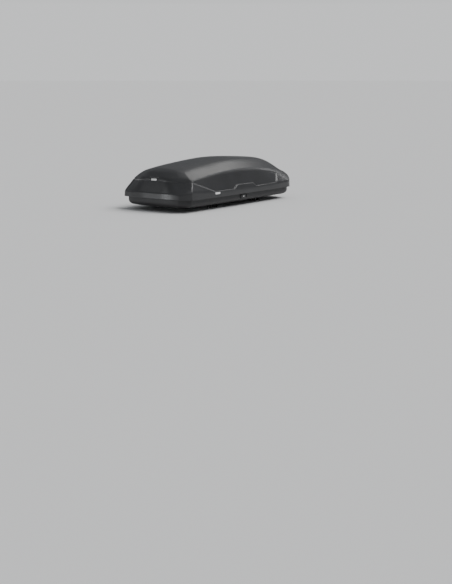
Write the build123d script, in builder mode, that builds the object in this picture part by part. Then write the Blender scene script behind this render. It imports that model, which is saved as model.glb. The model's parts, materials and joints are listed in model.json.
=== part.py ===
"""Roof cargo box with a lid that opens from either side and four quick clamps for crossbars.

Millimetres. +X is the driving direction, +Y the left side, +Z up. The origin is under the middle of
the box, level with the lowest point of the clamps. Heights named *_Z are above that point.
"""

import math
import os

from build123d import *

# ---- Driving dimensions ----
LENGTH = 1900.0
WIDTH = 840.0
EDGE_Z = 123.0                           # lower edge of the lid
BASE_DEPTH = 75.0                        # underside of the tray below the lid's edge
SIDE_INSET = 30.0                        # tray walls inside the lid's outline: sides
END_INSET = 20.0                         # and ends
RIM_RISE = 16.0                          # tray rim above the lid's edge, hidden inside the lid
HINGE_RISE = 27.0                        # hinge axes above the lid's edge
HINGE_Y = 398.0                          # hinge axes from the centre plane
WALL = 4.0                               # moulded sheet
RECESS = 2.0                             # relief of the lid's recessed panels
SIDES = {"left": 1, "right": -1}

FLOOR_Z = EDGE_Z - BASE_DEPTH            # underside of the tray
FLOOR_TOP_Z = FLOOR_Z + WALL
RIM_Z = EDGE_Z + RIM_RISE
HINGE_Z = EDGE_Z + HINGE_RISE
WALL_Y = WIDTH / 2 - SIDE_INSET          # outer face of the tray's side wall at its middle

# Plan outline of the lid at its lower edge, before the corners are rounded
REAR_CORNER = (-895.0, 408.0)
FRONT_CORNER = (882.0, 405.0)
REAR_BEND_R = 80.0

# Lid outline going up: height above the edge; rear middle moved in, half width of the flat rear
# middle, rear corners moved in, front moved in, sides moved in; rear and front corner radius
LID_LEVELS = (
    (0.0, 0.0, 205.0, 0.0, 0.0, 0.0, 36.0, 90.0),
    (52.0, 4.0, 205.0, 5.0, 4.0, 2.0, 34.0, 90.0),
    (120.0, 17.0, 185.0, 80.0, 6.0, 3.0, 26.0, 95.0),
    (150.0, 23.0, 172.0, 112.0, 42.0, 3.0, 22.0, 100.0),
    (178.0, 29.0, 160.0, 144.0, 116.0, 3.0, 20.0, 105.0),
    (200.0, 35.0, 150.0, 164.0, 150.0, 3.0, 20.0, 110.0),
    (255.0, 80.0, 110.0, 215.0, 190.0, 3.0, 20.0, 125.0),
    (360.0, 250.0, 70.0, 380.0, 370.0, 3.0, 20.0, 150.0),
)
# Tray outline and lower edge
TRAY_BEND_Y = 205.0
TRAY_REAR_R = 46.0
TRAY_FRONT_R = 80.0
TRAY_LOWER_R = 42.0

# Lid cross-sections: x, crown height, upper crease y and height, lower crease y and height
LID_SECTIONS = (
    (-960.0, 264.0, 262.0, 208.0, 366.0, 152.0),
    (-740.0, 297.0, 250.0, 245.0, 358.0, 181.0),
    (-400.0, 328.0, 232.0, 286.0, 353.0, 221.0),
    (0.0, 346.0, 220.0, 317.0, 350.0, 236.0),
    (350.0, 331.0, 222.0, 306.0, 347.0, 220.0),
    (700.0, 302.0, 228.0, 262.0, 343.0, 163.0),
    (960.0, 264.0, 232.0, 205.0, 336.0, 112.0),
)
BAND_TOP = (418.0, 52.0)                 # side facets meet the vertical band here
SECTION_BOTTOM = -70.0

# Recessed panels: side (x, height above the edge) and rear (y, height above the edge)
SIDE_PANEL = (
    (-829.0, 164.0),
    (-518.0, 57.0),
    (-190.0, 57.0),
    (-120.0, 92.0),
    (150.0, 92.0),
    (200.0, 59.0),
    (570.0, 66.0),
    (615.0, 100.0),
    (665.0, 158.0),
    (350.0, 206.0),
    (0.0, 224.0),
    (-337.0, 214.0),
)
REAR_PANEL = ((384.0, 58.0), (338.0, 158.0), (60.0, 182.0), (48.0, 204.0))

# Blank badge plates: half length or length span, heights above the edge, pocket around them
REAR_BADGE_HALF = 31.0
REAR_BADGE_Z = (173.0, 191.0)
SIDE_BADGE_X = (-497.0, -423.0)
SIDE_BADGE_Z = (30.0, 48.0)
BADGE_MARGIN = 4.0

# Hinges and sliding rods
STATIONS = (-500.0, -140.0, 420.0)
ROD_R = 4.0
NECK_R = 2.7
NECK_HALF = 11.0
ROD_SPAN = (-560.0, 480.0)
EAR_INNER = 29.0                         # inner face of each ear from its station
EAR_THICK = 5.0
EAR_R = 9.0
BUSH_R = 5.6
CLIP_HALF = 10.0
CLIP_R = 8.0
CLIP_MOUTH = 6.2
ROD_TRAVEL = 16.0
RAIL_Z = (EDGE_Z + 40.0, EDGE_Z + 54.0)  # stiffening rail along each side of the lid
RAIL_X = (-560.0, 500.0)
FIT = 0.06                               # radial clearance of turning and sliding fits
GAP = 0.4                                # clearance of free faces

# Lock in the tray's side wall
LOCK_X = -6.0
LOCK_Z = EDGE_Z - 30.0
LOCK_FRAME = (LOCK_X - 48.0, LOCK_X + 64.0, LOCK_Z - 20.0, LOCK_Z + 19.0)
LOCK_OPENING = (LOCK_X - 38.0, LOCK_X + 54.0, LOCK_Z - 14.0, LOCK_Z + 14.0)
SLIDER_X = (LOCK_X - 37.0, LOCK_X + 37.0)
SLIDER_Y = (WALL_Y + 0.6, WALL_Y + 10.0)
CYLINDER_R = 7.0
NECK_BLOCK = 10.0

# Lid lifters
LIFTERS = {"rear": (-780.0, 1), "front": (650.0, -1)}
ARM_THICK = 5.0
ARM_HALF_HEIGHT = 6.0
TIP_R = 6.0
TIP_PIN_R = 3.0
PIVOT_R = 5.0
BRACKET_HALF = 26.0

# Clamp rails and clamps
TRACK_Y = 235.0
TRACK_HALF = 22.0
TRACK_HEIGHT = 12.0
TRACK_X = (-600.0, 600.0)
SLOT_HALF = 6.4
CLAMPS = {"rear": -310.0, "front": 440.0}
CLAMP_TRAVEL = 45.0
CLAMP_NECK_HALF = 13.0
SPINDLE_R = 4.0
SADDLE_FACE_Z = FLOOR_Z - 9.0
BAR_HALF = 40.0                          # widest crossbar the jaws take, from its middle
JAW_PIVOT_X = 47.0
JAW_PIVOT_Z = FLOOR_Z - 6.5
JAW_HALF_Y = 19.6
JAW_PIN_R = 3.0
KNOB_Z = FLOOR_TOP_Z + 40.0
KNOB_R = 27.0
KNOB_HEIGHT = 17.0
RIVETS_X = (-575.0, -430.0, -190.0, 20.0, 230.0, 575.0)
RIVET_R = 2.5
# Jaw seen from the side: distance from the clamp's middle, height
JAW_PROFILE = (
    (42.0, 39.0),
    (42.0, 12.5),
    (40.5, 10.5),
    (25.0, 8.5),
    (22.5, 6.5),
    (24.0, 3.0),
    (30.0, 0.0),
    (43.0, 0.0),
    (49.5, 4.0),
    (52.5, 12.0),
    (52.5, 41.5),
    (47.0, 41.5),
)

os.makedirs("parts", exist_ok=True)


def save(builder, name):
    """Labels a finished piece and writes it."""
    builder.part.label = name
    export_step(builder.part, f"parts/{name}.step")


def block(xs, ys, zs, mode=Mode.ADD):
    """Box between pairs of coordinates given in either order."""
    spans = [sorted(pair) for pair in (xs, ys, zs)]
    middle = tuple((low + high) / 2 for low, high in spans)
    with Locations(middle):
        Box(*[high - low for low, high in spans], mode=mode)


def rod_along_x(xs, y, z, radius, mode=Mode.ADD):
    """Cylinder along X between two x values."""
    with Locations(((xs[0] + xs[1]) / 2, y, z)):
        Cylinder(radius, abs(xs[1] - xs[0]), rotation=(0, 90, 0), mode=mode)


def rod_along_y(x, ys, z, radius, mode=Mode.ADD):
    """Cylinder along Y between two y values."""
    with Locations((x, (ys[0] + ys[1]) / 2, z)):
        Cylinder(radius, abs(ys[1] - ys[0]), rotation=(90, 0, 0), mode=mode)


def outline(rear_in, bend_y, corner_in, front_in, side_in, rear_r, front_r):
    """Plan outline: flat rear middle, swept rear corners, bowed sides and front, all moved in."""
    xr, yr = REAR_CORNER[0] + corner_in, REAR_CORNER[1] - side_in
    xf, yf = FRONT_CORNER[0] - front_in, FRONT_CORNER[1] - side_in
    rear_x = -LENGTH / 2 + rear_in
    middle_x = (xr + xf) / 2
    with BuildSketch() as plan:
        with BuildLine():
            Polyline((xr, -yr), (rear_x, -bend_y), (rear_x, bend_y), (xr, yr))
            ThreePointArc((xr, yr), (middle_x, WIDTH / 2 - side_in), (xf, yf))
            ThreePointArc((xf, yf), (LENGTH / 2 - front_in, 0), (xf, -yf))
            ThreePointArc((xf, -yf), (middle_x, -WIDTH / 2 + side_in), (xr, -yr))
        make_face()
        fillet(plan.vertices().sort_by(Axis.X)[-2:], front_r)
        fillet(plan.vertices().sort_by(Axis.X)[2:4], rear_r)
        fillet(plan.vertices().sort_by(Axis.X)[:2], REAR_BEND_R)
    return plan.sketch


def lid_section(section, inset):
    """Half cross-section points of the lid from the upper crease down, moved in by the inset."""
    x, crown, y1, z1, y2, z2 = section
    slope = (BAND_TOP[0] - y2) / (z2 - BAND_TOP[1])
    low_y = y2 + slope * (z2 - SECTION_BOTTOM)
    points = ((y1, z1), (y2, z2), (low_y, SECTION_BOTTOM))
    return [(y - 0.7 * inset, z - inset) for y, z in points]


def lid_top(inset):
    """Endless lid body: crowned roof, shoulder facets and side facets running along X."""
    with BuildPart() as top:
        for section in LID_SECTIONS:
            right = lid_section(section, inset)
            left = [(-y, z) for y, z in reversed(right)]
            with BuildSketch(Plane.YZ.offset(section[0])):
                with BuildLine(Location((0, EDGE_Z))):
                    Polyline(*right)
                    Line(right[-1], left[0])
                    Polyline(*left)
                    ThreePointArc(left[-1], (0, section[1] - inset), right[0])
                make_face()
        loft()
    return top.part


def lid_solid(inset, top):
    """Solid lid within its plan outline and under the given top."""
    with BuildPart() as body:
        for rise, rear_in, bend_y, corner_in, front_in, side_in, rear_r, front_r in LID_LEVELS:
            start = EDGE_Z + rise - (20.0 if rise == 0.0 and inset > 0.0 else 0.0)
            moved_in = (corner_in + inset, front_in + inset, side_in + inset)
            with BuildSketch(Plane.XY.offset(start)):
                add(outline(rear_in + inset, bend_y, *moved_in, rear_r - inset, front_r - inset))
        loft(ruled=True)
        add(top, mode=Mode.INTERSECT)
    return body.part


def tray_solid(inset):
    """Solid tray, its lower edge rounded, up to the rim."""
    with BuildPart() as body:
        with BuildSketch(Plane.XY.offset(FLOOR_Z + inset)):
            end_in = END_INSET + inset
            side_in = SIDE_INSET + inset
            radii = (TRAY_REAR_R - inset, TRAY_FRONT_R - inset)
            add(outline(end_in, TRAY_BEND_Y, end_in, end_in, side_in, *radii))
        extrude(amount=BASE_DEPTH + RIM_RISE - inset)
        fillet(body.edges().group_by(Axis.Z)[0], TRAY_LOWER_R - inset)
    return body.part


roof = lid_top(0.0)
lid_outer = lid_solid(0.0, roof)
roof_recessed = lid_top(RECESS)
lid_recessed = lid_solid(RECESS, roof_recessed)
roof_inner = lid_top(WALL)
lid_inner = lid_solid(WALL, roof_inner)
tray_outer = tray_solid(0.0)
tray_inner = tray_solid(WALL)

# ---- Lid ----
with BuildPart() as relief:
    with BuildSketch(Plane.XZ) as side_view:
        with BuildLine(Location((0, EDGE_Z))):
            Polyline(*SIDE_PANEL, close=True)
        make_face()
    extrude(amount=500, both=True)
    with BuildSketch(Plane.YZ.offset(-1000.0)) as rear_view:
        with BuildLine(Location((0, EDGE_Z))):
            Polyline(*REAR_PANEL, *[(-y, z) for y, z in reversed(REAR_PANEL)], close=True)
        make_face()
    extrude(amount=500)
    badge_x = (SIDE_BADGE_X[0] - BADGE_MARGIN, SIDE_BADGE_X[1] + BADGE_MARGIN)
    badge_z = (EDGE_Z + SIDE_BADGE_Z[0] - BADGE_MARGIN, EDGE_Z + SIDE_BADGE_Z[1] + BADGE_MARGIN)
    block(badge_x, (-450, 450), badge_z)
    add(lid_outer, mode=Mode.INTERSECT)
    add(lid_recessed, mode=Mode.SUBTRACT)

with BuildPart() as lid_shell:
    add(lid_outer)
    add(lid_inner, mode=Mode.SUBTRACT)
    add(relief.part, mode=Mode.SUBTRACT)
save(lid_shell, "lid_shell")

with BuildPart() as rear_badge:
    badge_z = (EDGE_Z + REAR_BADGE_Z[0], EDGE_Z + REAR_BADGE_Z[1])
    block((-1000, -800), (-REAR_BADGE_HALF, REAR_BADGE_HALF), badge_z)
    add(lid_outer, mode=Mode.INTERSECT)
    add(lid_recessed, mode=Mode.SUBTRACT)
save(rear_badge, "rear_badge")

for side, s in SIDES.items():
    with BuildPart() as side_badge:
        badge_z = (EDGE_Z + SIDE_BADGE_Z[0], EDGE_Z + SIDE_BADGE_Z[1])
        block(SIDE_BADGE_X, (s * 350, s * 450), badge_z)
        add(lid_outer, mode=Mode.INTERSECT)
        add(lid_recessed, mode=Mode.SUBTRACT)
    save(side_badge, f"{side}_badge")

    with BuildPart() as side_rail:
        block(RAIL_X, (s * 386, s * 440), RAIL_Z)
        block(RAIL_X, (s * 380, s * 405), (RAIL_Z[0] + 2.5, RAIL_Z[1] - 2.5), mode=Mode.SUBTRACT)
        add(lid_inner, mode=Mode.INTERSECT)
    save(side_rail, f"{side}_lid_rail")

    with BuildPart() as clips:
        for station in STATIONS:
            span = (station - CLIP_HALF, station + CLIP_HALF)
            rod_along_x(span, s * HINGE_Y, HINGE_Z, CLIP_R)
            block(span, (s * (HINGE_Y - 6.5), s * (HINGE_Y + 6.5)), (HINGE_Z, RAIL_Z[0]))
        for station in STATIONS:
            span = (station - CLIP_HALF, station + CLIP_HALF)
            mouth = (s * (HINGE_Y - CLIP_MOUTH / 2), s * (HINGE_Y + CLIP_MOUTH / 2))
            rod_along_x(span, s * HINGE_Y, HINGE_Z, ROD_R + FIT, mode=Mode.SUBTRACT)
            block(span, mouth, (HINGE_Z - 12, HINGE_Z), mode=Mode.SUBTRACT)
    save(clips, f"{side}_hinge_clips")

# ---- Tray ----
with BuildPart() as base_tray:
    add(tray_outer)
    add(tray_inner, mode=Mode.SUBTRACT)
    for s in SIDES.values():
        for clamp_x in CLAMPS.values():
            reach = CLAMP_NECK_HALF + CLAMP_TRAVEL + GAP
            slot_y = (s * (TRACK_Y - SLOT_HALF), s * (TRACK_Y + SLOT_HALF))
            slot_z = (FLOOR_Z - 1, FLOOR_TOP_Z + 1)
            block((clamp_x - reach, clamp_x + reach), slot_y, slot_z, mode=Mode.SUBTRACT)
        for rivet_x in RIVETS_X:
            with Locations((rivet_x, s * TRACK_Y, FLOOR_Z + WALL / 2)):
                Cylinder(RIVET_R, WALL * 2, mode=Mode.SUBTRACT)
        window_x = (LOCK_X - NECK_BLOCK - GAP, LOCK_X + NECK_BLOCK + ROD_TRAVEL + GAP)
        window_z = (LOCK_Z - NECK_BLOCK - GAP, LOCK_Z + NECK_BLOCK + GAP)
        block(window_x, (s * (WALL_Y - 14), s * (WALL_Y + 11)), window_z, mode=Mode.SUBTRACT)
save(base_tray, "base_tray")

# ---- Hinge ears, bushes, sliding rods and locks, one set on each side ----
for side, s in SIDES.items():
    ear_faces = [x + e * (EAR_INNER + EAR_THICK / 2) for x in STATIONS for e in (-1, 1)]

    with BuildPart() as ears:
        for x in ear_faces:
            with BuildSketch(Plane.YZ.offset(x)):
                with Locations((s * HINGE_Y, HINGE_Z)):
                    Circle(EAR_R)
                with BuildLine():
                    Polyline(
                        (s * (WALL_Y - 8), RIM_Z - 11),
                        (s * (WALL_Y + 4), RIM_Z - 11),
                        (s * (HINGE_Y + 6.5), HINGE_Z - 6.2),
                        (s * HINGE_Y, HINGE_Z + EAR_R),
                        (s * (HINGE_Y - 8), HINGE_Z + 4),
                        (s * (WALL_Y - 8), RIM_Z + 2),
                        close=True,
                    )
                make_face()
                with Locations((s * HINGE_Y, HINGE_Z)):
                    Circle(BUSH_R, mode=Mode.SUBTRACT)
            extrude(amount=EAR_THICK / 2, both=True)
        add(tray_outer, mode=Mode.SUBTRACT)
    save(ears, f"{side}_hinge_ears")

    with BuildPart() as bushes:
        for x in ear_faces:
            span = (x - EAR_THICK / 2, x + EAR_THICK / 2)
            rod_along_x(span, s * HINGE_Y, HINGE_Z, BUSH_R - FIT)
        for x in ear_faces:
            span = (x - EAR_THICK / 2, x + EAR_THICK / 2)
            rod_along_x(span, s * HINGE_Y, HINGE_Z, ROD_R + FIT, mode=Mode.SUBTRACT)
    save(bushes, f"{side}_hinge_bushes")

    with BuildPart() as rod:
        rod_along_x(ROD_SPAN, s * HINGE_Y, HINGE_Z, ROD_R)
        chamfer(rod.edges(), 0.8)
        for station in STATIONS:
            span = (station - NECK_HALF, station + NECK_HALF)
            rod_along_x(span, s * HINGE_Y, HINGE_Z, ROD_R + 1, mode=Mode.SUBTRACT)
        for station in STATIONS:
            span = (station - NECK_HALF, station + NECK_HALF)
            rod_along_x(span, s * HINGE_Y, HINGE_Z, NECK_R)
    save(rod, f"{side}_latch_rod")

    with BuildPart() as slider:
        block(SLIDER_X, (s * SLIDER_Y[0], s * SLIDER_Y[1]), (LOCK_Z - 13.6, LOCK_Z + 13.6))
        face_edges = slider.edges().filter_by(Axis.Y)
        fillet(face_edges, 5)
        front_edges = slider.faces().sort_by(Axis.Y)[-1 if s > 0 else 0].edges()
        fillet(front_edges, 2)
        ridge_y = (s * (SLIDER_Y[1] - 3), s * (SLIDER_Y[1] + 2))
        block((SLIDER_X[1] - 14, SLIDER_X[1] - 9), ridge_y, (LOCK_Z - 9, LOCK_Z + 9))
        neck_x = (LOCK_X - NECK_BLOCK, LOCK_X + NECK_BLOCK)
        plate_y = s * (WALL_Y - 8)
        block(neck_x, (s * (WALL_Y - 12), s * (WALL_Y + 2)), (LOCK_Z - NECK_BLOCK, LOCK_Z + NECK_BLOCK))
        block(neck_x, (plate_y, s * (WALL_Y - 4.2)), (LOCK_Z, HINGE_Z - 4))
        block(neck_x, (plate_y, s * (HINGE_Y + 6)), (HINGE_Z - 8.5, HINGE_Z - 4))
        block(neck_x, (s * (HINGE_Y - 6), s * (HINGE_Y + 6)), (HINGE_Z - 8.5, HINGE_Z + 6.5))
        rod_along_x(neck_x, s * HINGE_Y, HINGE_Z, ROD_R, mode=Mode.SUBTRACT)
        bore_y = (s * (WALL_Y - 14), s * (SLIDER_Y[1] + 4))
        rod_along_y(LOCK_X, bore_y, LOCK_Z, CYLINDER_R + FIT, mode=Mode.SUBTRACT)
    save(slider, f"{side}_latch_slider")

    with BuildPart() as key_cylinder:
        back_y, front_y = WALL_Y - 12.4, SLIDER_Y[1] + 0.6
        rod_along_y(LOCK_X, (s * back_y, s * front_y), LOCK_Z, CYLINDER_R)
        block((LOCK_X - 4, LOCK_X + 20), (s * (back_y - 3.6), s * back_y), (LOCK_Z - 4, LOCK_Z + 4))
        slot_y = (s * (front_y - 2.6), s * (front_y + 1))
        block((LOCK_X - 0.7, LOCK_X + 0.7), slot_y, (LOCK_Z - 4, LOCK_Z + 4), mode=Mode.SUBTRACT)
    save(key_cylinder, f"{side}_key_cylinder")

    with BuildPart() as lock_frame:
        x0, x1, z0, z1 = LOCK_FRAME
        block((x0, x1), (s * (WALL_Y - 10), s * (WALL_Y + 7)), (z0, z1))
        fillet(lock_frame.edges().filter_by(Axis.Y), 8)
        outer_face = lock_frame.faces().sort_by(Axis.Y)[-1 if s > 0 else 0]
        fillet(outer_face.edges(), 3)
        x0, x1, z0, z1 = LOCK_OPENING
        block((x0, x1), (s * (WALL_Y - 14), s * (WALL_Y + 12)), (z0, z1), mode=Mode.SUBTRACT)
        add(tray_outer, mode=Mode.SUBTRACT)
    save(lock_frame, f"{side}_lock_frame")

# ---- Lid lifters at both ends ----
for end, (x, d) in LIFTERS.items():
    with BuildPart() as bracket:
        with BuildSketch(Plane.YZ.offset(x + 15 * d)):
            with BuildLine():
                Polyline(
                    (-60, FLOOR_TOP_Z),
                    (60, FLOOR_TOP_Z),
                    (60, FLOOR_TOP_Z + 10),
                    (14, HINGE_Z + 6),
                    (-14, HINGE_Z + 6),
                    (-60, FLOOR_TOP_Z + 10),
                    close=True,
                )
            make_face()
            with Locations((0, HINGE_Z)):
                Circle(16)
        extrude(amount=2, both=True)
        block((x + 13 * d, x + 50 * d), (-60, 60), (FLOOR_TOP_Z, FLOOR_TOP_Z + 4))
        rod_along_x((x + 12 * d, x + 18 * d), 0, HINGE_Z, PIVOT_R, mode=Mode.SUBTRACT)
    save(bracket, f"{end}_lifter_bracket")

    for side, s in SIDES.items():
        near = 1 if side == "left" else 7
        with BuildPart() as arm:
            bar = (x + near * d, x + (near + ARM_THICK) * d)
            rod_along_x(bar, 0, HINGE_Z, 11)
            block(bar, (0, s * HINGE_Y), (HINGE_Z - ARM_HALF_HEIGHT, HINGE_Z + ARM_HALF_HEIGHT))
            rod_along_x(bar, s * HINGE_Y, HINGE_Z, ARM_HALF_HEIGHT)
            rod_along_x((x + near * d, x - 12 * d), s * HINGE_Y, HINGE_Z, TIP_PIN_R)
            rod_along_x((x - 12 * d, x - 6 * d), s * HINGE_Y, HINGE_Z, TIP_R)
            rod_along_x(bar, 0, HINGE_Z, PIVOT_R + FIT, mode=Mode.SUBTRACT)
        save(arm, f"{end}_{side}_lifter_arm")

    with BuildPart() as track:
        block((x - 15 * d, x - 3 * d), (-440, 440), (HINGE_Z - 9, HINGE_Z + 9))
        add(lid_inner, mode=Mode.INTERSECT)
        reach = HINGE_Y + TIP_R + GAP
        groove = TIP_R + 0.1
        slit = TIP_PIN_R + GAP
        groove_z = (HINGE_Z - groove, HINGE_Z + groove)
        slit_z = (HINGE_Z - slit, HINGE_Z + slit)
        block((x - 12.6 * d, x - 5.4 * d), (-reach, reach), groove_z, mode=Mode.SUBTRACT)
        block((x - 5.4 * d, x - 3 * d), (-reach, reach), slit_z, mode=Mode.SUBTRACT)
    save(track, f"{end}_lid_track")

with BuildPart() as lifter_pins:
    for x, d in LIFTERS.values():
        rod_along_x((x - 1.8 * d, x + 17 * d), 0, HINGE_Z, PIVOT_R)
        rod_along_x((x - 1.8 * d, x + 0.6 * d), 0, HINGE_Z, 8)
        rod_along_x((x + 17 * d, x + 21 * d), 0, HINGE_Z, 8)
save(lifter_pins, "lifter_pivot_pins")

# ---- Clamp rails ----
for side, s in SIDES.items():
    with BuildPart() as clamp_rail:
        y = s * TRACK_Y
        rail_top = FLOOR_TOP_Z + TRACK_HEIGHT
        block(TRACK_X, (y - TRACK_HALF, y + TRACK_HALF), (FLOOR_TOP_Z, rail_top))
        block(TRACK_X, (y - 18.4, y + 18.4), (FLOOR_TOP_Z + 2.5, rail_top - 3), mode=Mode.SUBTRACT)
        block(TRACK_X, (y - 13.4, y + 13.4), (rail_top - 3, rail_top), mode=Mode.SUBTRACT)
        for clamp_x in CLAMPS.values():
            reach = CLAMP_NECK_HALF + CLAMP_TRAVEL + GAP
            slot_x = (clamp_x - reach, clamp_x + reach)
            slot_y = (y - SLOT_HALF, y + SLOT_HALF)
            block(slot_x, slot_y, (FLOOR_TOP_Z, FLOOR_TOP_Z + 3), mode=Mode.SUBTRACT)
        for rivet_x in RIVETS_X:
            with Locations((rivet_x, y, FLOOR_TOP_Z + 1)):
                Cylinder(RIVET_R, 4, mode=Mode.SUBTRACT)
    save(clamp_rail, f"{side}_clamp_rail")

with BuildPart() as rivets:
    for s in SIDES.values():
        for rivet_x in RIVETS_X:
            with Locations((rivet_x, s * TRACK_Y, FLOOR_Z)):
                Cylinder(RIVET_R, WALL + 2.5, align=(Align.CENTER, Align.CENTER, Align.MIN))
            with Locations((rivet_x, s * TRACK_Y, FLOOR_TOP_Z + 2.5)):
                Cylinder(5.5, 2.2, align=(Align.CENTER, Align.CENTER, Align.MIN))
            with Locations((rivet_x, s * TRACK_Y, FLOOR_Z)):
                Cylinder(7, 2, align=(Align.CENTER, Align.CENTER, Align.MAX))
save(rivets, "rail_rivets")

# ---- Four quick clamps ----
for end, x in CLAMPS.items():
    for side, s in SIDES.items():
        y = s * TRACK_Y
        name = f"{end}_{side}"
        rail_top = FLOOR_TOP_Z + TRACK_HEIGHT

        with BuildPart() as carriage:
            block((x - 30, x + 30), (y - 21, y + 21), (rail_top + GAP, KNOB_Z))
            fillet(carriage.edges().filter_by(Axis.Z), 8)
            fillet(carriage.faces().sort_by(Axis.Z)[-1].edges(), 3)
            block((x - 30, x + 30), (y - 13, y + 13), (FLOOR_TOP_Z + 8, rail_top + 2))
            block((x - 34, x + 34), (y - 18, y + 18), (FLOOR_TOP_Z + 2.9, rail_top - 3.4))
            neck_x = (x - CLAMP_NECK_HALF, x + CLAMP_NECK_HALF)
            block(neck_x, (y - 6, y + 6), (FLOOR_Z - GAP, FLOOR_TOP_Z + 4))
            with Locations((x, y, FLOOR_TOP_Z + 18)):
                Cylinder(SPINDLE_R + FIT, 60, mode=Mode.SUBTRACT)
        save(carriage, f"{name}_clamp_carriage")

        with BuildPart() as knob:
            with BuildSketch(Plane.XY.offset(KNOB_Z + GAP)):
                with Locations((x, y)):
                    Circle(KNOB_R)
                    with PolarLocations(KNOB_R + 5, 6, start_angle=30):
                        Circle(9, mode=Mode.SUBTRACT)
            extrude(amount=KNOB_HEIGHT)
            chamfer(knob.faces().sort_by(Axis.Z)[-1].edges(), 2.5)
            with Locations((x, y, KNOB_Z + GAP)):
                Cylinder(SPINDLE_R, 60, mode=Mode.SUBTRACT)
        save(knob, f"{name}_clamp_knob")

        with BuildPart() as spindle:
            with Locations((x, y, FLOOR_Z - 4)):
                Cylinder(SPINDLE_R, KNOB_Z + 19 - FLOOR_Z, align=(Align.CENTER, Align.CENTER, Align.MIN))
        save(spindle, f"{name}_clamp_spindle")

        with BuildPart() as saddle:
            block((x - 40.2, x + 40.2), (y - 26, y + 26), (SADDLE_FACE_Z, FLOOR_Z - GAP))
            for e in (-1, 1):
                for f in (-1, 1):
                    cheek_x = (x + e * 40.2, x + e * 54)
                    block(cheek_x, (y + f * 20, y + f * 26), (SADDLE_FACE_Z - 4, FLOOR_Z - GAP))
            for e in (-1, 1):
                pivot = x + e * JAW_PIVOT_X
                rod_along_y(pivot, (y - 30, y + 30), JAW_PIVOT_Z, JAW_PIN_R + FIT, mode=Mode.SUBTRACT)
            with Locations((x, y, FLOOR_Z)):
                Cylinder(SPINDLE_R + FIT, 9, mode=Mode.SUBTRACT)
        save(saddle, f"{name}_clamp_saddle")

        for jaw_end, e in (("front", 1), ("rear", -1)):
            with BuildPart() as jaw:
                with BuildSketch(Plane.XZ.offset(-y)):
                    with BuildLine():
                        Polyline(*[(x + e * px, pz) for px, pz in JAW_PROFILE], close=True)
                    make_face()
                    with Locations((x + e * JAW_PIVOT_X, JAW_PIVOT_Z)):
                        Circle(5.5)
                extrude(amount=JAW_HALF_Y, both=True)
                rod_along_y(x + e * JAW_PIVOT_X, (y - 25.6, y + 25.6), JAW_PIVOT_Z, JAW_PIN_R)
            save(jaw, f"{name}_clamp_{jaw_end}_jaw")
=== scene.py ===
"""Looks of the roof cargo box. Metres, in the frame of the CAD: +X forward, +Y left, +Z up."""

import itertools
import json
import math

import bmesh
import bpy
import numpy as np
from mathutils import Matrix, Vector


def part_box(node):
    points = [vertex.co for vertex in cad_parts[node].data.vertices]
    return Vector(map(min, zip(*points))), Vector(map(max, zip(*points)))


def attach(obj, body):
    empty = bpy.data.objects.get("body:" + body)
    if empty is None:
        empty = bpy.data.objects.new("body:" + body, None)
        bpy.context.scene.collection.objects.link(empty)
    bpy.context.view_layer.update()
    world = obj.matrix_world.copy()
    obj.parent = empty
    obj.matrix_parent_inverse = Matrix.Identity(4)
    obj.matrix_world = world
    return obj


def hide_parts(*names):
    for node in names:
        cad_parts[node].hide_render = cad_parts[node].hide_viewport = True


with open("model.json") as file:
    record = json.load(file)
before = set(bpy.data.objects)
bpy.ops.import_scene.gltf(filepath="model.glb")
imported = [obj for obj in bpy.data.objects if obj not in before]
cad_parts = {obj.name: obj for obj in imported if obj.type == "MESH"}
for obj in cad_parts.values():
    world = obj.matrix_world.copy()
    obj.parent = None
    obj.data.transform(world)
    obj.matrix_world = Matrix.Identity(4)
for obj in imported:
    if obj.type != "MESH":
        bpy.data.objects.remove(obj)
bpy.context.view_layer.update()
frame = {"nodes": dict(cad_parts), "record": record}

# Heights and length that the CAD gives
EDGE_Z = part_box("lid_shell")[0][2]
FLOOR_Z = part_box("base_tray")[0][2]
RIM_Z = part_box("base_tray")[1][2]
HALF_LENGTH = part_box("lid_shell")[1][0]

# ---- Camera: ten metres behind the right rear corner and a metre above it, looking down a little ----
CAMERA_PLACE = (-9.0249, -6.7730, EDGE_Z + 1.1684)
CAMERA_YAW = 0.63123                     # radians, from +X towards +Y
CAMERA_PITCH = 0.19431                   # radians, downwards

camera_data = bpy.data.cameras.new("camera")
camera_data.sensor_width = 36.0
camera_data.lens = 68.41
camera_data.clip_end = 200.0
camera = bpy.data.objects.new("camera", camera_data)
camera.location = CAMERA_PLACE
look = Vector(
    (
        math.cos(CAMERA_PITCH) * math.cos(CAMERA_YAW),
        math.cos(CAMERA_PITCH) * math.sin(CAMERA_YAW),
        -math.sin(CAMERA_PITCH),
    )
)
camera.rotation_euler = look.to_track_quat("-Z", "Y").to_euler()
bpy.context.scene.collection.objects.link(camera)
bpy.context.scene.camera = camera

# ---- Lid shape, in metres: heights are above the lid's lower edge ----
HALF_WIDTH = 0.420                       # where the sides bow out most
REAR_CORNER = (-0.895, 0.404)
FRONT_CORNER = (0.882, 0.405)
REAR_FLAT_HALF = 0.205                   # half width of the rear's flat middle at the band
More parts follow.
